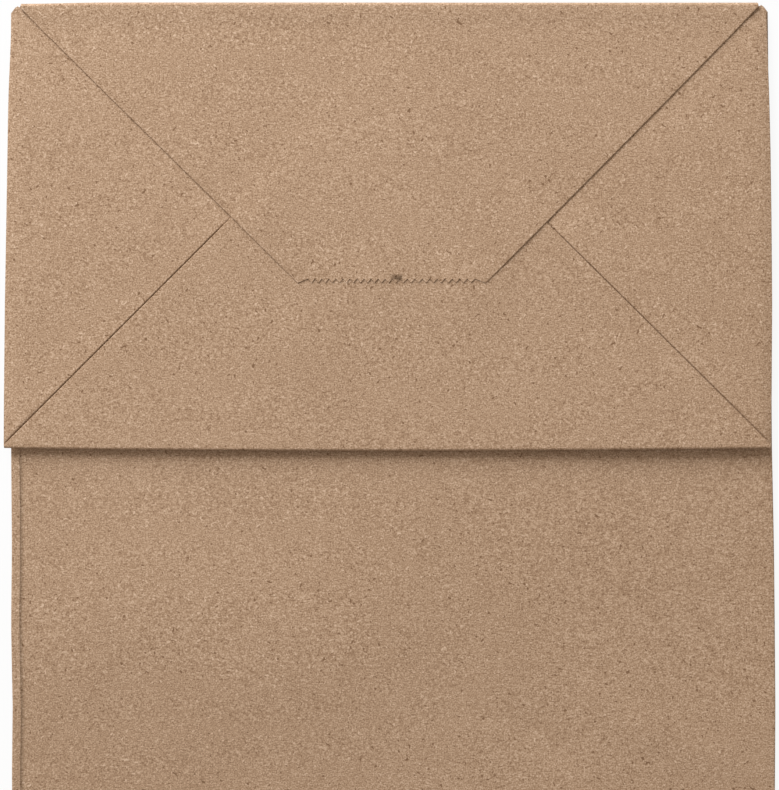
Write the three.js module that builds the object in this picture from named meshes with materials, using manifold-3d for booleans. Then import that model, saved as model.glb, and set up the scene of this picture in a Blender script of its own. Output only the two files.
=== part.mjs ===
// A block-bottom paper bag folded flat, with a flat paper handle glued inside each panel of its mouth.
// The bag is one folded sheet: plates of paper at their own heights, joined by rounded folds.
// Plan positions are given as u, in from a side crease, and v, along from the bottom crease to the mouth.
import * as THREE from "three";
import { mergeVertices } from "three/addons/utils/BufferGeometryUtils.js";
import Module from "manifold-3d";

const wasm = await Module();
wasm.setup();

// Driving dimensions, in millimetres
const BAG_WIDTH = 303.5; // between the two side creases
const BAG_HEIGHT = 430; // from the bottom crease to the mouth
const BOTTOM_DEPTH = 175.5; // between the long creases of the block bottom; each gusset has the same width
const PAPER = 0.18; // thickness of the sheet
const LAYER_GAP = 0.15; // air between two layers that lie on each other
const FOLD_REACH = 1.6; // the furthest that a fold rounds out past its crease
const FLAP_REACH = 110; // each bottom flap, from its crease to its cut edge
const CORNER_INSET = 3; // the upper flap's diagonal folds start this far in from the side creases
const CORNER_CUT = 2.2; // blunt corners of the bottom end
const BLOCK_LIFT = 2.2; // rise of the block bottom over half its depth, towards its free edge
const BLOCK_FLARE = 4; // the block bottom is this much wider at its free edge than at the bottom crease
const SEAM_INSET = 2.7; // from the left side crease to the cut edge of the lap seam
const TOOTH_PITCH = 3; // saw-tooth edge left by the knife that cuts the tube
const TOOTH_DEPTH = 1.6;
const TAPE_WIDTH = 20; // paper tape that the handles are folded from
const TAPE_THICKNESS = 0.5;
const HANDLE_SPAN = 100; // across the outer edges of the two legs
const HANDLE_RISE = 95; // from the mouth to the far edge of the handle
const LEG_TAIL = 45; // glued length of each leg inside the mouth
const PATCH_WIDTH = 116;
const PATCH_HEIGHT = 50;
const PATCH_INSET = 3; // from the mouth to the patch
const PATCH_RAMP = 1.5; // run of the slope where the patch climbs over a leg
const PATCH_CLEARANCE = 0.3; // from the leg's side to the foot of that slope
const FOLD_SEGMENTS = 8; // steps along each fold's curve

const PAPER_COLOUR = 0xb08f73;
const TAPE_COLOUR = 0xa98a6e;
const PATCH_COLOUR = 0xb39578;

// Heights: the underside of every layer, from the back panel up
const LAYERS = [
  ["back_panel", PAPER],
  ["back_legs", TAPE_THICKNESS],
  ["back_patch", PAPER],
  ["gusset_back", PAPER],
  ["gusset_front", PAPER],
  ["front_patch", PAPER],
  ["front_legs", TAPE_THICKNESS],
  ["front_panel", 2 * PAPER], // two thick, for the lap of its seam
  ["turned_strip", PAPER],
  ["gusset_turn", PAPER],
  ["gusset_ear", PAPER],
  ["bottom_ear", PAPER],
  ["lower_tuck", PAPER],
  ["lower_flap", PAPER],
  ["upper_tuck", PAPER],
  ["upper_flap", PAPER],
];
const level = {};
let stackTop = 0;
for (const [name, thickness] of LAYERS) {
  level[name] = stackTop;
  stackTop += thickness + LAYER_GAP;
}

const HALF_DEPTH = BOTTOM_DEPTH / 2;
const CUT_HEIGHT = BAG_HEIGHT + TOOTH_DEPTH; // the tube before its mouth is cut
const UP = new THREE.Vector3(0, 0, 1);

// Rounds every coordinate to a tenth of a micron, so that faces meant to lie in one plane do
function settleDigits(array) {
  for (let i = 0; i < array.length; i++) array[i] = Math.round(array[i] * 1e4) / 1e4;
}

function solidOf(geometry) {
  geometry.deleteAttribute("normal");
  geometry.deleteAttribute("uv");
  settleDigits(geometry.attributes.position.array);
  const merged = mergeVertices(geometry);
  return new wasm.Manifold(
    new wasm.Mesh({
      numProp: 3,
      vertProperties: merged.attributes.position.array,
      triVerts: new Uint32Array(merged.index.array),
    }),
  );
}

function geometryOf(solid) {
  const mesh = solid.getMesh();
  return new THREE.BufferGeometry()
    .setAttribute("position", new THREE.BufferAttribute(new Float32Array(mesh.vertProperties), 3))
    .setIndex(new THREE.BufferAttribute(new Uint32Array(mesh.triVerts), 1));
}

function joined(solids) {
  return solids.reduce((whole, piece) => whole.add(piece));
}

// A flat layer of the given outline, standing on z
function plate(outline, z, thickness = PAPER) {
  const shape = new THREE.Shape(outline);
  const geometry = new THREE.ExtrudeGeometry(shape, { depth: thickness, bevelEnabled: false });
  return solidOf(geometry.translate(0, 0, z));
}

// A rounded fold along the crease from start to end, joining the layers that stand on low and high
function fold(start, end, low, high, bulge, thickness = PAPER) {
  const middle = (low + high + thickness) / 2;
  const outer = (high + thickness - low) / 2;
  const reach = Math.min(outer, FOLD_REACH);
  const shape = new THREE.Shape();
  shape.absellipse(0, middle, reach, outer, -Math.PI / 2, Math.PI / 2, false);
  shape.absellipse(0, middle, reach - thickness, outer - thickness, Math.PI / 2, -Math.PI / 2, true);

  const across = new THREE.Vector3(bulge.x, bulge.y, 0).normalize();
  const along = new THREE.Vector3().crossVectors(across, UP);
  const run = new THREE.Vector2().subVectors(end, start);
  const origin = run.x * along.x + run.y * along.y > 0 ? start : end;
  const geometry = new THREE.ExtrudeGeometry(shape, {
    depth: run.length(),
    bevelEnabled: false,
    curveSegments: FOLD_SEGMENTS,
  });
  const frame = new THREE.Matrix4().makeBasis(across, UP, along).setPosition(origin.x, origin.y, 0);
  return solidOf(geometry.applyMatrix4(frame));
}

// Saw-tooth line at v, from one x to another, with its teeth counted from the middle of the bag
function toothedEdge(fromX, toX, v) {
  const halfPitch = TOOTH_PITCH / 2;
  const points = [];
  for (let k = Math.ceil(fromX / halfPitch); k <= Math.floor(toX / halfPitch); k++) {
    points.push(new THREE.Vector2(k * halfPitch, -v + (k % 2 === 0 ? 0 : TOOTH_DEPTH)));
  }
  return points;
}

// Point and direction in plan, for the left side (-1) or the right side (+1)
const at = (side, u, v) => new THREE.Vector2(side * (BAG_WIDTH / 2 - u), -v);
const towards = (side, du, dv) => new THREE.Vector2(-side * du, -dv);

// The same layer or fold on both sides of the bag
function bothPlates(name, corners) {
  return [-1, 1].map((side) => plate(corners.map(([u, v]) => at(side, u, v)), level[name]));
}

function bothFolds(low, high, start, end, bulge) {
  return [-1, 1].map((side) =>
    fold(at(side, ...start), at(side, ...end), level[low], level[high], towards(side, ...bulge)),
  );
}

// A layer or fold that runs across the whole bag, u in from each side
function acrossPlate(name, fromV, toV) {
  const outline = [at(-1, 0, fromV), at(1, 0, fromV), at(1, 0, toV), at(-1, 0, toV)];
  return plate(outline, level[name]);
}

function acrossFold(low, high, u, v, dv) {
  return fold(at(-1, u, v), at(1, u, v), level[low], level[high], towards(1, 0, dv));
}

function panels() {
  const seam = [
    at(-1, 0, HALF_DEPTH),
    at(-1, SEAM_INSET, HALF_DEPTH),
    at(-1, SEAM_INSET, CUT_HEIGHT),
    at(-1, 0, CUT_HEIGHT),
  ];
  return [
    acrossPlate("back_panel", 0, CUT_HEIGHT),
    acrossPlate("front_panel", HALF_DEPTH, CUT_HEIGHT),
    plate(seam, level.front_panel, 2 * PAPER),
    acrossPlate("turned_strip", HALF_DEPTH, BOTTOM_DEPTH),
    acrossFold("front_panel", "turned_strip", 0, HALF_DEPTH, -1),
  ];
}

// Side gussets, folded in along the middle, with the diamond that opens into the block bottom
function gussets() {
  const d = HALF_DEPTH;
  const foot = [0, BOTTOM_DEPTH];
  return [
    ...bothPlates("gusset_back", [[0, 0], [d, d], [d, CUT_HEIGHT], [0, CUT_HEIGHT]]),
    ...bothPlates("gusset_front", [[0, d], [d, d], [d, CUT_HEIGHT], [0, CUT_HEIGHT]]),
    ...bothPlates("gusset_turn", [[0, d], [d, d], foot]),
    ...bothPlates("gusset_ear", [[0, 0], [d, d], foot]),
    ...bothFolds("back_panel", "gusset_back", [0, 0], [0, CUT_HEIGHT], [-1, 0]),
    ...bothFolds("gusset_back", "gusset_front", [d, d], [d, CUT_HEIGHT], [1, 0]),
    ...bothFolds("gusset_front", "front_panel", [0, d], [0, CUT_HEIGHT], [-1, 0]),
    ...bothFolds("gusset_front", "gusset_turn", [0, d], [d, d], [0, -1]),
    ...bothFolds("turned_strip", "gusset_turn", [0, d], foot, [-1, 0]),
    ...bothFolds("gusset_back", "gusset_ear", [0, 0], [d, d], [1, -1]),
    ...bothFolds("gusset_turn", "gusset_ear", foot, [d, d], [1, 1]),
  ];
}

// Block bottom: side ears first, then the lower flap, then the upper flap with its toothed edge
function blockBottom() {
  const f = FLAP_REACH;
  const c = CORNER_INSET;
  const end = BOTTOM_DEPTH;
  const lowerFlap = [at(-1, 0, end), at(1, 0, end), at(1, f, end - f), at(-1, f, end - f)];
  const upperEnd = [at(-1, c + f, f), at(1, c + f, f)];
  const teeth = toothedEdge(upperEnd[0].x + TOOTH_PITCH, upperEnd[1].x - TOOTH_PITCH, f);
  const upperFlap = [at(1, c, 0), at(-1, c, 0), upperEnd[0], ...teeth, upperEnd[1]];
  return [
    ...bothPlates("bottom_ear", [[0, 0], [c + f, 0], [c + f, end], [0, end]]),
    ...bothPlates("lower_tuck", [[0, end], [f, end - f], [f, end]]),
    plate(lowerFlap, level.lower_flap),
    ...bothPlates("upper_tuck", [[c, 0], [c + f, f], [c + f, 0]]),
    plate(upperFlap, level.upper_flap),
    ...bothFolds("gusset_ear", "bottom_ear", [0, 0], [0, end], [-1, 0]),
    ...bothFolds("bottom_ear", "lower_tuck", [0, end], [f, end], [0, 1]),
    ...bothFolds("lower_tuck", "lower_flap", [0, end], [f, end - f], [-1, -1]),
    ...bothFolds("bottom_ear", "upper_tuck", [c, 0], [c + f, 0], [0, -1]),
    ...bothFolds("upper_tuck", "upper_flap", [c, 0], [c + f, f], [-1, 1]),
    acrossFold("turned_strip", "lower_flap", 0, end, 1),
    acrossFold("back_panel", "upper_flap", c, 0, -1),
  ];
}

// What the knife takes off at the mouth, and the blunt corners of the bottom end
function offcuts() {
  const far = BAG_WIDTH;
  const beyond = -CUT_HEIGHT - TOOTH_PITCH;
  const mouth = [
    ...toothedEdge(-far, far, BAG_HEIGHT),
    new THREE.Vector2(far, beyond),
    new THREE.Vector2(-far, beyond),
  ];
  const margin = 2 * FOLD_REACH;
  const corners = [-1, 1].map((side) => [
    at(side, CORNER_CUT, -FOLD_REACH - LAYER_GAP),
    at(side, -margin, -FOLD_REACH - LAYER_GAP),
    at(side, -margin, CORNER_CUT + margin),
  ]);
  return joined([mouth, ...corners].map((outline) => plate(outline, -LAYER_GAP, stackTop + LAYER_GAP)));
}

// The block lies over the turned front panel, so it tilts: low at the bottom end, high at its free edge
function tiltBlock(geometry) {
  const position = geometry.attributes.position;
  const hinge = level.turned_strip - LAYER_GAP / 2;
  for (let i = 0; i < position.count; i++) {
    const v = -position.getY(i);
    const z = position.getZ(i);
    const turned = THREE.MathUtils.clamp((z - PAPER) / (hinge - PAPER), 0, 1);
    const share = v > HALF_DEPTH ? Number(z > hinge) : turned;
    const along = (v - HALF_DEPTH) / HALF_DEPTH;
    position.setX(i, position.getX(i) * (1 + (share * along * BLOCK_FLARE) / 2 / BAG_WIDTH));
    position.setZ(i, z + share * along * BLOCK_LIFT);
  }
  return geometry;
}

function bagSheet() {
  const sheet = joined([...panels(), ...gussets(), ...blockBottom()]).subtract(offcuts());
  return tiltBlock(geometryOf(sheet));
}

// One tape folded square at two mitred corners: two legs, and a grip that lies on their far ends
function tapeHandle(legs, grip) {
  const outside = HANDLE_SPAN / 2;
  const inside = outside - TAPE_WIDTH;
  const tail = BAG_HEIGHT - LEG_TAIL;
  const near = BAG_HEIGHT + HANDLE_RISE - TAPE_WIDTH;
  const far = BAG_HEIGHT + HANDLE_RISE;
  const spot = (x, v) => new THREE.Vector2(x, -v);
  const low = Math.min(legs, grip);
  const high = Math.max(legs, grip);
  const gripOutline = [spot(-outside, near), spot(outside, near), spot(inside, far), spot(-inside, far)];
  const pieces = [plate(gripOutline, grip, TAPE_THICKNESS)];
  for (const side of [-1, 1]) {
    const heel = spot(side * outside, near);
    const toe = spot(side * inside, far);
    const leg = [spot(side * outside, tail), heel, toe, spot(side * inside, tail)];
    pieces.push(plate(leg, legs, TAPE_THICKNESS));
    pieces.push(fold(heel, toe, low, high, new THREE.Vector2(side, -1), TAPE_THICKNESS));
  }
  return geometryOf(joined(pieces));
}

// A patch glued to the panel that steps up over the two legs: its section, drawn out along the bag
function patch(onPanel, overLegs) {
  const footOut = HANDLE_SPAN / 2 + PATCH_CLEARANCE;
  const footIn = HANDLE_SPAN / 2 - TAPE_WIDTH - PATCH_CLEARANCE;
  const rightHalf = [
    [footIn - PATCH_RAMP, onPanel],
    [footIn, overLegs],
    [footOut, overLegs],
    [footOut + PATCH_RAMP, onPanel],
    [PATCH_WIDTH / 2, onPanel],
  ];
  const leftHalf = rightHalf.map(([x, z]) => [-x, z]).reverse();
  const lower = [...leftHalf, ...rightHalf].map(([x, z]) => new THREE.Vector2(x, z));
  const upper = lower.map((point) => new THREE.Vector2(point.x, point.y + PAPER)).reverse();
  const shape = new THREE.Shape([...lower, ...upper]);
  const geometry = new THREE.ExtrudeGeometry(shape, { depth: PATCH_HEIGHT, bevelEnabled: false });
  geometry.rotateX(Math.PI / 2);
  return geometryOf(solidOf(geometry.translate(0, PATCH_INSET + PATCH_HEIGHT - BAG_HEIGHT, 0)));
}

function paperMesh(name, geometry, colour) {
  const material = new THREE.MeshStandardMaterial({ color: colour, roughness: 0.9, metalness: 0 });
  const mesh = new THREE.Mesh(geometry, material);
  mesh.name = name;
  return mesh;
}

const tapeStep = TAPE_THICKNESS + LAYER_GAP;
const backPatchSeat = level.back_panel + PAPER + LAYER_GAP;
const frontPatchSeat = level.front_panel - LAYER_GAP - PAPER;
const pieces = [
  paperMesh("bag", bagSheet(), PAPER_COLOUR),
  paperMesh("handle_back", tapeHandle(level.back_legs, level.back_legs + tapeStep), TAPE_COLOUR),
  paperMesh("handle_front", tapeHandle(level.front_legs, level.front_legs - tapeStep), TAPE_COLOUR),
  paperMesh("patch_back", patch(backPatchSeat, level.back_patch), PATCH_COLOUR),
  paperMesh("patch_front", patch(frontPatchSeat, level.front_patch), PATCH_COLOUR),
];

// The origin is on the ground under the middle of the bag and its handles
const layout = new THREE.Group().add(...pieces);
const middle = new THREE.Box3().setFromObject(layout).getCenter(new THREE.Vector3());
layout.position.set(-middle.x, -middle.y, 0);

const paperBag = new THREE.Group();
paperBag.name = "paper_bag";
paperBag.add(layout);

export default paperBag;
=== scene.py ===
# %% [markdown]
# # A brown paper bag, folded flat
# The bag is one glued tube of paper. It left the folding machine with its block bottom turned up over
# the front panel, and it lies on its back with two flat paper handles laid out at the mouth.
# The folds are already in the loaded frame. This lesson gives them what a sheet of paper gets by lying
# about: soft waves, a slight skew, lifted edges, and a surface of pressed fibres.

# %% Load the frame
import math

import bpy
import numpy as np
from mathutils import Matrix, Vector, noise


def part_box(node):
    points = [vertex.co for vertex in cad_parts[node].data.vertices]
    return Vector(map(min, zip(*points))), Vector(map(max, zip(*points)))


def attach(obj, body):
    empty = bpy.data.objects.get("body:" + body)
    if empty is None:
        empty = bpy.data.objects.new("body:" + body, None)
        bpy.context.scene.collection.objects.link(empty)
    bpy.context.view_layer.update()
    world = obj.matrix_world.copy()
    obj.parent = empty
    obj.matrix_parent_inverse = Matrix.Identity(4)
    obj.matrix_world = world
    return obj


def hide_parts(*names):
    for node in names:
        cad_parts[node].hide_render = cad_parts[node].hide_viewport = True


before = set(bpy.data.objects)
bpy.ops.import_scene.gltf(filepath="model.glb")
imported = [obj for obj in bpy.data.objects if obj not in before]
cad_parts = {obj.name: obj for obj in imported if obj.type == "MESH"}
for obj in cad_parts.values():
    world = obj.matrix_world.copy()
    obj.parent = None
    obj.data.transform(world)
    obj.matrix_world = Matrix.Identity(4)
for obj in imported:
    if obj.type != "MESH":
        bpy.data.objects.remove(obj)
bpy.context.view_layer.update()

MM = 0.001
bag_low, bag_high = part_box("bag")
print("bag box, mm:", [round(c / MM, 1) for c in (*bag_low, *bag_high)])

# %% [markdown]
# ## Where things are on the sheet
# Two numbers place a point on the bag: x across, from the middle, and how far it is down from the bottom
# end, which is at the top of the picture. A few creases are needed again and again, so they are named here.

# %% Named places
PIXELS_PER_MM = 2.5
PICTURE_WIDTH = 779
PICTURE_HEIGHT = 790
PICTURE_TOP_GAP = 1.6  # pixels of ground above the bag

FOLD_REACH = 1.6 * MM  # the bottom crease's fold rounds out this far
BOTTOM_DEPTH = 175.5 * MM  # from the bottom crease to the free edge's crease
HALF_DEPTH = BOTTOM_DEPTH / 2
BLOCK_LIFT = 2.2 * MM  # the block tilts by this much over half its depth
BLOCK_FLARE = 0.0066  # and widens by this share
FLAP_REACH = 110 * MM
CORNER_INSET = 3 * MM
PANEL_TOP = 3.31 * MM  # upper face of the front panel, at its lap seam
PANEL_MIDDLE = 2.9 * MM
HALF_WIDTH = 151.75 * MM


def from_picture(px, py):
    """x across and distance down from the bottom end, for a pixel of the picture."""
    across = (px - PICTURE_WIDTH / 2) / PIXELS_PER_MM * MM
    down = (py - PICTURE_TOP_GAP) / PIXELS_PER_MM * MM
    return across, down


# %% [markdown]
# ## The camera
# The picture was taken from straight above with a long lens, and the mouth end runs out of it. The
# camera hangs over the middle of what the picture shows, with the bottom end upwards.

# %% Camera
LENS = 100.0
SENSOR = 36.0
middle_across, middle_down = from_picture(PICTURE_WIDTH / 2, PICTURE_HEIGHT / 2)
seen_height = PICTURE_HEIGHT / PIXELS_PER_MM * MM
bpy.ops.object.camera_add(
    location=(middle_across, bag_high.y - middle_down, PANEL_TOP + seen_height * LENS / SENSOR),
    rotation=(0, 0, 0),
)
camera = bpy.context.object
camera.name = "camera_above"
camera.data.lens = LENS
camera.data.sensor_width = SENSOR
bpy.context.scene.camera = camera
print("camera height, m:", round(camera.location.z, 3))

# %% [markdown]
# ## Cutting the sheet into a grid
# A folded layer in the frame is a few long triangles, which can't bend. A copy of it is merged, its flat
# faces are made whole again, and then it is cut through in even steps both ways with the bisect tool, as
# a cook dices. Every layer gets the same grid, so layers that lie on each other bend together.


# %% Copy and dice
def deselect_all():
    bpy.ops.object.select_all(action="DESELECT")


def merged_copy(node, name):
    """A copy of a frame node with its flat faces whole."""
    deselect_all()
    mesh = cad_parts[node].data.copy()
    mesh.materials.clear()
    piece = bpy.data.objects.new(name, mesh)
    bpy.context.scene.collection.objects.link(piece)
    bpy.context.view_layer.objects.active = piece
    piece.select_set(True)
    bpy.ops.object.mode_set(mode="EDIT")
    bpy.ops.mesh.select_all(action="SELECT")
    bpy.ops.mesh.remove_doubles(threshold=0.002 * MM)
    bpy.ops.mesh.dissolve_limited(angle_limit=math.radians(0.2))
    bpy.ops.object.mode_set(mode="OBJECT")
    return piece


def dice(piece, step):
    """Cuts the active piece into squares of about the step's size."""
    corners = np.array(piece.bound_box)
    low, high = corners.min(axis=0), corners.max(axis=0)
    bpy.ops.object.mode_set(mode="EDIT")
    for axis in (0, 1):
        cuts = int((high[axis] - low[axis]) / step)
        normal = [0.0, 0.0, 0.0]
        normal[axis] = 1.0
        for place in np.linspace(low[axis], high[axis], cuts + 2)[1:-1]:
            bpy.ops.mesh.select_all(action="SELECT")
            bpy.ops.mesh.bisect(plane_co=np.multiply(normal, place), plane_no=normal)
    bpy.ops.object.mode_set(mode="OBJECT")
    print(piece.name, "has", len(piece.data.polygons), "faces")


def reshape(piece, mover):
    """Moves every point of a piece: mover takes and gives arrays of x, down and z."""
    count = len(piece.data.vertices)
    points = np.zeros(count * 3)
    piece.data.vertices.foreach_get("co", points)
    points = points.reshape(-1, 3)
    x, down, z = mover(points[:, 0], bag_high.y - points[:, 1], points[:, 2])
    points = np.stack([x, bag_high.y - down, z], axis=1)
    piece.data.vertices.foreach_set("co", points.ravel())
    piece.data.update()
    print(piece.name, "settled, highest point in mm:", round(z.max() / MM, 2))


def smooth(piece):
    """Shades a piece smooth, apart from its cut edges."""
    deselect_all()
    piece.select_set(True)
    bpy.context.view_layer.objects.active = piece
    bpy.ops.object.shade_smooth_by_angle(angle=math.radians(35))


# %% [markdown]
# ## How paper lies
# Paper doesn't stretch, so its waves are long and low. Each one below is a soft hill or valley with a
# place, a width and a height. They lift the front panel and the block together and fade to nothing at
# the back panel, which lies flat on the table.

# %% Soft waves
GRID = 6 * MM
COCKLE_HEIGHT = 0.22 * MM  # fine unevenness all over
COCKLE_LENGTH = 38 * MM
SWELL_HEIGHT = 0.5 * MM  # slow waves
SWELL_LENGTH = 150 * MM

COCKLE_SEED, SWELL_SEED = 3.7, 9.2

# From pixel to pixel, width and height in mm. A valley's height is below zero
RIDGES = [
    ((520, 720), (556, 755), 5.0, -0.6),
    ((588, 696), (640, 728), 3.0, 0.45),
    ((640, 728), (712, 762), 4.5, 0.6),
    ((95, 470), (95, 790), 2.6, 0.25),
    ((40, 640), (330, 640), 45.0, 1.6),
]
FLAP_EDGE_HILLS = [
    ((366, 287), (378, 287), 11.0, 0.5),
    ((462, 288), (474, 288), 10.0, 0.45),
]


def smooth_step(value, start, end):
    share = np.clip((value - start) / (end - start), 0, 1)
    return share * share * (3 - 2 * share)


def ridge(x, down, start, end, width, height):
    """A soft ridge or valley along a line between two pixels of the picture."""
    a = np.array(from_picture(*start))
    b = np.array(from_picture(*end))
    run = b - a
    along = np.clip(((x - a[0]) * run[0] + (down - a[1]) * run[1]) / (run @ run), 0, 1)
    away = np.hypot(x - a[0] - along * run[0], down - a[1] - along * run[1])
    return height * MM * np.exp(-((away / (width * MM)) ** 2))


def noise_field(x, down, length, seed):
    return np.array([noise.noise(Vector((a / length, b / length, seed))) for a, b in zip(x, down)])


def waves(x, down):
    """Lift of the front panel, and of the block with it."""
    height = COCKLE_HEIGHT * noise_field(x, down, COCKLE_LENGTH, COCKLE_SEED)
    height += SWELL_HEIGHT * noise_field(x, down, SWELL_LENGTH, SWELL_SEED)
    for line in RIDGES:
        height += ridge(x, down, *line)
    return height


# %% [markdown]
# ## Out of square
# No folded bag is quite square. The panel leans a little one way and the block bottom the other, and each
# edge has its own slight bow. The two edges of each are given as a drift, in mm, at a few distances down.

# %% Drift of the edges
PANEL_STATIONS = [0, 178, 220, 250, 282, 307, 430]
PANEL_LEFT = [0.5, 1.0, 1.45, 1.25, 1.8, 1.4, 1.6]
PANEL_RIGHT = [-0.6, 0.65, 1.5, 1.8, 2.0, 1.85, 1.2]
BLOCK_STATIONS = [0, 12, 35, 60, 85, 120, 155, 178]
BLOCK_LEFT = [0.3, -0.7, -1.1, -1.1, -1.15, -1.25, -1.1, -0.9]
BLOCK_RIGHT = [-0.3, 0.2, 0.55, 0.7, 0.65, 0.4, -0.3, -0.9]


def drift(x, down, stations, left, right):
    stations = np.array(stations) * MM
    at_left = np.interp(down, stations, left)
    at_right = np.interp(down, stations, right)
    return (at_left + (at_right - at_left) * (x / HALF_WIDTH + 1) / 2) * MM


# %% [markdown]
# ## The block bottom settles
# The flaps were folded one after the other, so each has found its own place. The lower flap reaches a
# little further at the left, the upper flap is narrower at its toothed edge, and it sags where nothing
# lies under it. The side ears swell up beside the lower flap, which leaves a narrow dark groove along
# its slanting folds. To follow that groove, the ears are cut along the slant first.

# %% Slanting folds
LOWER_LEAN = {-1: 0.982, 1: 1.003}  # run across for each unit along, at the left and the right
UPPER_LEAN = {-1: 1.027, 1: 1.004}
EAR_UNDER, EAR_TOP = 4.45 * MM, 4.63 * MM  # heights before the block tilted
EAR_SLACK = 0.02 * MM
GROOVE_CUTS = [0.4, 0.55, 0.7, 0.85, 1.0, 2.0, 4.5, 9.0]  # mm out from a fold


def flat_height(down, z):
    """Height of a point of the block before it tilted."""
    return z - BLOCK_LIFT * (down - FOLD_REACH - HALF_DEPTH) / HALF_DEPTH


def block_place(side, u, v):
    """Plan point u in from a side crease and v along from the bottom crease."""
    flare = 1 + BLOCK_FLARE * (v - HALF_DEPTH) / HALF_DEPTH
    return Vector((side * (HALF_WIDTH - u) * flare, bag_high.y - FOLD_REACH - v))


def choose_ear(side):
    """Selects the flat faces of the ear on one side of the block."""
    for face in bag.data.polygons:
        height = flat_height(bag_high.y - face.center.y, face.center.z)
        level = abs(face.normal.z) > 0.9 and EAR_UNDER - EAR_SLACK < height < EAR_TOP + EAR_SLACK
        face.select = level and face.center.x * side > 0


def cut_ear(side, start, end, ear_way):
    """Cuts an ear along a fold from start to end, at small steps out from it."""
    run = (end - start).normalized()
    outwards = Vector((-run.y, run.x))
    if outwards.y * ear_way < 0:
        outwards.negate()
    for offset in GROOVE_CUTS:
        place = start + outwards * offset * MM
        choose_ear(side)
        bpy.ops.object.mode_set(mode="EDIT")
        bpy.ops.mesh.bisect(plane_co=(*place, 0), plane_no=(*outwards, 0))
        bpy.ops.object.mode_set(mode="OBJECT")


# %% Cut the ears, then the whole sheet
bag = merged_copy("bag", "paper_bag")
bpy.context.tool_settings.mesh_select_mode = (False, False, True)
for side in (-1, 1):
    foot, corner = block_place(side, 0, BOTTOM_DEPTH), block_place(side, CORNER_INSET, 0)
    lower_end = block_place(side, FLAP_REACH * LOWER_LEAN[side], BOTTOM_DEPTH - FLAP_REACH)
    upper_end = block_place(side, CORNER_INSET + FLAP_REACH * UPPER_LEAN[side], FLAP_REACH)
    cut_ear(side, foot, lower_end, 1)
    cut_ear(side, corner, upper_end, -1)
dice(bag, GRID)

# %% Settle the bag
EDGE_BOW = 1.0 * MM
EDGE_REACH = 0.5 * MM
EDGE_DROP = 1.1 * MM  # the free edge lies lower than it was folded, except at the right
CORNER_DROOP = 0.5 * MM
EAR_SWELL = 0.85 * MM
EAR_FADE = 12 * MM  # the swell changes over this distance from a fold
GROOVE_INNER, GROOVE_OUTER = 0.55 * MM, 1 * MM  # the ear rises between these distances from a fold
LOWER_FLAP_FROM, LOWER_FLAP_TO = 4.75 * MM, 5.35 * MM  # heights before the block tilted
UPPER_FLAP_FROM = 5.4 * MM
FLAP_SAG = 0.62 * MM
TOOTHED_SAG = 0.28 * MM
NARROWEST = 20 * MM  # least half width over which a flap's lean is shared out


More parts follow.
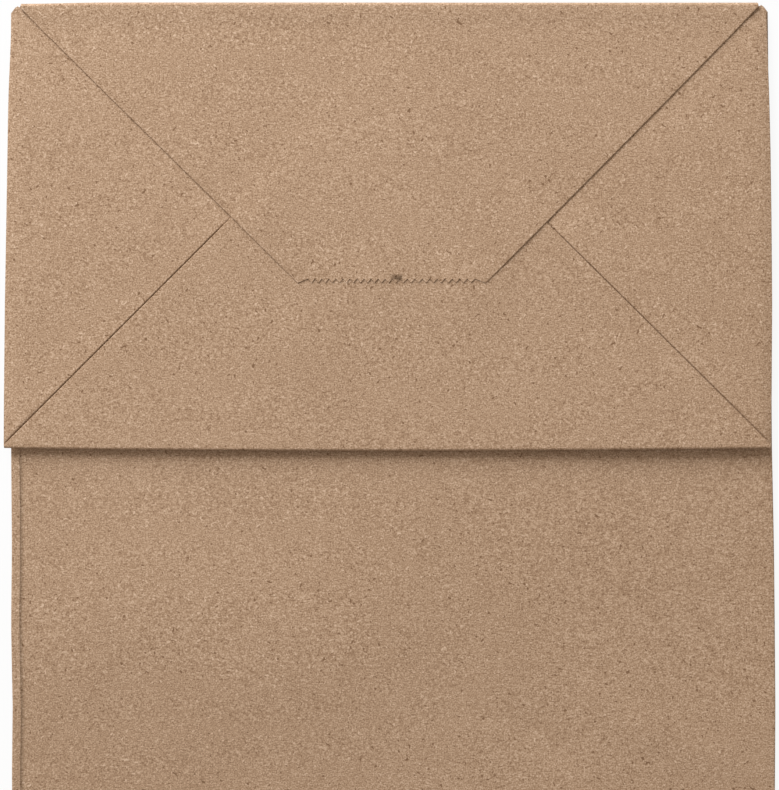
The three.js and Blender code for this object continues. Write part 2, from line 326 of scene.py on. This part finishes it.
def settle_bag(x, down, z):
    """Bends the bag: waves, the free edge's drop, the ears' swell, the flaps' sag and lean."""
    over_panel = np.where(
        down > HALF_DEPTH + FOLD_REACH,
        (z > PANEL_TOP + 0.05 * MM).astype(float),
        np.clip(z / PANEL_TOP, 0, 1),
    )
    in_block = over_panel * (down < BOTTOM_DEPTH + 5 * MM)
    across = np.clip(x / HALF_WIDTH, -1, 1)
    to_edge = np.clip(down / BOTTOM_DEPTH, 0, 1)

    lift = waves(x, down) * smooth_step(z, 0, PANEL_MIDDLE)
    past_half = np.clip((down - FOLD_REACH - HALF_DEPTH) / HALF_DEPTH, 0, 1)
    lift -= in_block * EDGE_DROP * past_half * (1 - 0.85 * smooth_step(across, 0.1, 0.8))
    for line in FLAP_EDGE_HILLS:
        lift += in_block * ridge(x, down, *line)

    flat = flat_height(down, z)
    v = down - FOLD_REACH
    u = HALF_WIDTH - np.abs(x) / (1 + BLOCK_FLARE * (v - HALF_DEPTH) / HALF_DEPTH)
    lower_lean = np.where(x < 0, LOWER_LEAN[-1], LOWER_LEAN[1])
    upper_lean = np.where(x < 0, UPPER_LEAN[-1], UPPER_LEAN[1])
    past_lower = (BOTTOM_DEPTH - v - u / lower_lean) / math.sqrt(2)
    past_upper = (v - (u - CORNER_INSET) / upper_lean) / math.sqrt(2)

    beside_lower = 0.4 + 0.6 * np.exp(-np.abs(past_lower) / EAR_FADE)
    beside_upper = 0.3 + 0.7 * smooth_step(past_upper, GROOVE_OUTER, EAR_FADE)
    swell = smooth_step(past_lower, GROOVE_INNER, GROOVE_OUTER) * beside_lower
    swell *= smooth_step(past_upper, GROOVE_INNER, GROOVE_OUTER) * beside_upper
    swell *= smooth_step(u, -0.2 * MM, 1 * MM)
    is_ear = in_block * smooth_step(flat, 4.3 * MM, EAR_UNDER) * (flat < EAR_TOP + 0.08 * MM)
    lift += is_ear * EAR_SWELL * swell
    is_upper = in_block * (flat > UPPER_FLAP_FROM) * (v > 0)
    is_lower = in_block * (flat > LOWER_FLAP_FROM) * (flat < LOWER_FLAP_TO)
    is_lower *= v > BOTTOM_DEPTH - FLAP_REACH - 1 * MM

    sag = FLAP_SAG * smooth_step(past_lower, -1 * MM, 5 * MM)
    sag = np.maximum(sag, TOOTHED_SAG * smooth_step(u, 100 * MM, 114 * MM))
    lift -= is_upper * sag * smooth_step(v, 0, 6 * MM)

    share = np.clip(x / np.maximum(HALF_WIDTH - CORNER_INSET - v, NARROWEST), -1, 1)
    skew = -is_upper * share * np.clip(v, 0, FLAP_REACH) * (upper_lean - 1)
    share = np.clip(x / np.maximum(HALF_WIDTH - BOTTOM_DEPTH + v, NARROWEST), -1, 1)
    skew -= is_lower * share * np.clip(BOTTOM_DEPTH - v, 0, FLAP_REACH) * (lower_lean - 1)
    on_panel = drift(x, down, PANEL_STATIONS, PANEL_LEFT, PANEL_RIGHT)
    on_block = drift(x, down, BLOCK_STATIONS, BLOCK_LEFT, BLOCK_RIGHT)
    skew += on_panel + in_block * (on_block - on_panel)
    reach = in_block * (EDGE_REACH * to_edge + EDGE_BOW * to_edge * (1 - across ** 2))
    reach += CORNER_DROOP * smooth_step(-across, 0.75, 0.97) * (1 - smooth_step(down, 0, 25 * MM))
    return x + skew, down + reach, z + lift


reshape(bag, settle_bag)
smooth(bag)

# %% [markdown]
# ## Handles and patches
# The handles are paper tape, folded square at two corners. They spring up a little where they leave the
# mouth and lie down again at the grip.

# %% Handles and patches
TAPE_GRID = 4 * MM
HANDLE_SPRING = 2.2 * MM
HANDLE_COCKLE, HANDLE_COCKLE_LENGTH, HANDLE_SEED = 0.3 * MM, 60 * MM, 5.1
mouth_down = bag_high.y - bag_low.y
handle_reach = bag_low.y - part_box("handle_back")[0].y


def settle_handle(x, down, z):
    out = np.clip((down - mouth_down) / handle_reach, 0, 1)
    lift = HANDLE_SPRING * np.sin(math.pi * out) ** 2
    cockle = HANDLE_COCKLE * noise_field(x, down, HANDLE_COCKLE_LENGTH, HANDLE_SEED)
    lift += cockle * smooth_step(out, 0, 0.2)
    return x + drift(x, down, PANEL_STATIONS, PANEL_LEFT, PANEL_RIGHT), down, z + lift


def settle_patch(x, down, z):
    return x + drift(x, down, PANEL_STATIONS, PANEL_LEFT, PANEL_RIGHT), down, z


MOVERS = {"handle": settle_handle, "patch": settle_patch}
tapes = {}
for node in ("handle_front", "handle_back", "patch_front", "patch_back"):
    tapes[node] = merged_copy(node, "paper_" + node)
    dice(tapes[node], TAPE_GRID)
    reshape(tapes[node], MOVERS[node.split("_")[0]])

# %% [markdown]
# ## Brown paper
# Unbleached paper is a felt of short wood fibres. Close up it is a pale brown cloud of flocs with thin
# fibres lying every way, a few dark bark specks and a few light ones. Several noises at those sizes are
# added to one number, which then picks a brown from a ramp. The same number roughens the surface.


# %% Node helpers
def new_material(name):
    material = bpy.data.materials.new(name)
    material.use_nodes = True
    return material, material.node_tree.nodes, material.node_tree.links


def math_node(nodes, links, operation, first, second):
    node = nodes.new("ShaderNodeMath")
    node.operation = operation
    for socket, value in zip(node.inputs, (first, second)):
        if isinstance(value, (int, float)):
            socket.default_value = value
        else:
            links.new(value, socket)
    return node.outputs[0]


def noise_node(nodes, links, vector, scale, detail, roughness=0.5):
    node = nodes.new("ShaderNodeTexNoise")
    node.inputs["Scale"].default_value = scale
    node.inputs["Detail"].default_value = detail
    node.inputs["Roughness"].default_value = roughness
    links.new(vector, node.inputs["Vector"])
    return node.outputs["Fac"]


def turned(nodes, links, vector, angle, scale):
    node = nodes.new("ShaderNodeMapping")
    node.inputs["Rotation"].default_value = (0, 0, math.radians(angle))
    node.inputs["Scale"].default_value = scale
    links.new(vector, node.inputs["Vector"])
    return node.outputs["Vector"]


def directly_seen(nodes, links):
    """1 for what the camera sees, also by reflection or through glass, and 0 for light on other things."""
    rays = nodes.new("ShaderNodeLightPath")
    seen = math_node(nodes, links, "MAXIMUM", rays.outputs["Is Camera Ray"], rays.outputs["Is Glossy Ray"])
    return math_node(nodes, links, "MAXIMUM", seen, rays.outputs["Is Transmission Ray"])


def srgb(red, green, blue):
    """Linear colour for an 8-bit picture colour."""
    def linear(value):
        value /= 255
        return value / 12.92 if value <= 0.04045 else ((value + 0.055) / 1.055) ** 2.4
    return (linear(red), linear(green), linear(blue), 1)


# %% Brown paper material
# Size in features a metre, and strength, of each noise in the sheet
FLOCS = [(1800, 1.9), (700, 0.18), (190, 0.11), (45, 0.08), (9, 0.1)]
FIBRE_TURNS = [(12, 0.4), (75, 0.4), (-38, 0.4)]
FIBRE_SIZE = (520, 2100, 520)
DARK_SPECKS = (760, 0.78, 0.83, -1.1)  # size, start, full, strength
LIGHT_SPECKS = (950, 0.755, 0.82, 0.8)


def brown_paper(name, dark, middle, light, grain):
    material, nodes, links = new_material(name)
    shader = nodes["Principled BSDF"]
    place = nodes.new("ShaderNodeTexCoord").outputs["Object"]
    total = 0.5
    layers = [(noise_node(nodes, links, place, scale, 2), strength) for scale, strength in FLOCS]
    for angle, strength in FIBRE_TURNS:
        fibres = noise_node(nodes, links, turned(nodes, links, place, angle, FIBRE_SIZE), 1, 1)
        layers.append((fibres, strength))
    for value, strength in layers:
        value = math_node(nodes, links, "SUBTRACT", value, 0.5)
        value = math_node(nodes, links, "MULTIPLY", value, strength * grain)
        total = math_node(nodes, links, "ADD", value, total)
    for angle, (scale, first, full, strength) in ((30, DARK_SPECKS), (140, LIGHT_SPECKS)):
        value = noise_node(nodes, links, turned(nodes, links, place, angle, (1, 1, 1)), scale, 0)
        speck = nodes.new("ShaderNodeMapRange")
        speck.inputs["From Min"].default_value = first
        speck.inputs["From Max"].default_value = full
        speck.inputs["To Max"].default_value = strength
        links.new(value, speck.inputs["Value"])
        total = math_node(nodes, links, "ADD", speck.outputs["Result"], total)
    ramp = nodes.new("ShaderNodeValToRGB")
    ramp.color_ramp.elements[0].color = dark
    ramp.color_ramp.elements[1].color = light
    ramp.color_ramp.elements.new(0.5).color = middle
    links.new(total, ramp.inputs["Fac"])
    links.new(ramp.outputs["Color"], shader.inputs["Base Color"])
    bump = nodes.new("ShaderNodeBump")
    bump.inputs["Strength"].default_value = 0.35
    bump.inputs["Distance"].default_value = 0.06 * MM
    links.new(total, bump.inputs["Height"])
    links.new(bump.outputs["Normal"], shader.inputs["Normal"])
    shader.inputs["Roughness"].default_value = 0.88
    shader.inputs["Specular IOR Level"].default_value = 0.25
    return material


sheet_paper = brown_paper("brown_paper", srgb(131, 102, 77), srgb(178, 148, 121), srgb(215, 188, 163), 1.0)
tape_paper = brown_paper("tape_paper", srgb(130, 101, 75), srgb(170, 140, 112), srgb(206, 178, 150), 0.9)
patch_paper = brown_paper("patch_paper", srgb(138, 108, 82), srgb(180, 150, 122), srgb(214, 186, 158), 0.9)

bag.data.materials.append(sheet_paper)
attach(bag, "root")
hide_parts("bag")
for node, piece in tapes.items():
    is_patch = node.startswith("patch")
    piece.data.materials.append(patch_paper if is_patch else tape_paper)
    smooth(piece)
    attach(piece, "root")
    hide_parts(node)

# %% [markdown]
# ## Table and light
# The ground is a white table. To the camera most of its white is its own, so that it stays white and
# keeps a faint shadow. One large lamp stands low at the upper left, where the folds catch it, and the
# white room fills the rest.

# %% Table
TABLE_SIZE = 6.0
OWN_WHITE_SHARE = 0.9
bpy.ops.mesh.primitive_plane_add(size=TABLE_SIZE, location=(0, 0, -0.02 * MM))
table = bpy.context.object
table.name = "white_table"
table_material, nodes, links = new_material("white_table")
shader = nodes["Principled BSDF"]
shader.inputs["Base Color"].default_value = (0.9, 0.9, 0.9, 1)
shader.inputs["Roughness"].default_value = 0.9
shader.inputs["Specular IOR Level"].default_value = 0.0
own_white = nodes.new("ShaderNodeEmission")
own_white.inputs["Strength"].default_value = 1.0
seen = directly_seen(nodes, links)
mix = nodes.new("ShaderNodeMixShader")
links.new(math_node(nodes, links, "MULTIPLY", seen, OWN_WHITE_SHARE), mix.inputs["Fac"])
links.new(shader.outputs["BSDF"], mix.inputs[1])
links.new(own_white.outputs["Emission"], mix.inputs[2])
links.new(mix.outputs["Shader"], nodes["Material Output"].inputs["Surface"])
table.data.materials.append(table_material)

# %% Light
KEY_PLACE = (-0.85, 1.65, 0.9)
KEY_SIZE = 1.3
KEY_POWER = 51.5
ROOM_LIGHT = 0.42
ROOM_TINT = (1.0, 0.92, 0.83, 1)  # light that has been round the room
bpy.ops.object.light_add(type="AREA", location=KEY_PLACE)
key = bpy.context.object
key.name = "key_light"
key.data.size = KEY_SIZE
key.data.energy = KEY_POWER
aim = Vector((0, bag_high.y - middle_down, 0)) - key.location
key.rotation_euler = aim.to_track_quat("-Z", "Y").to_euler()

room = bpy.data.worlds.new("white_room")
bpy.context.scene.world = room
room.use_nodes = True
nodes, links = room.node_tree.nodes, room.node_tree.links
strength = math_node(nodes, links, "MULTIPLY", directly_seen(nodes, links), 1 - ROOM_LIGHT)
strength = math_node(nodes, links, "ADD", strength, ROOM_LIGHT)
links.new(strength, nodes["Background"].inputs["Strength"])
nodes["Background"].inputs["Color"].default_value = ROOM_TINT
bpy.context.scene.view_settings.view_transform = "Standard"
print("lamp at", KEY_PLACE, "with", KEY_POWER, "W, room at", ROOM_LIGHT)
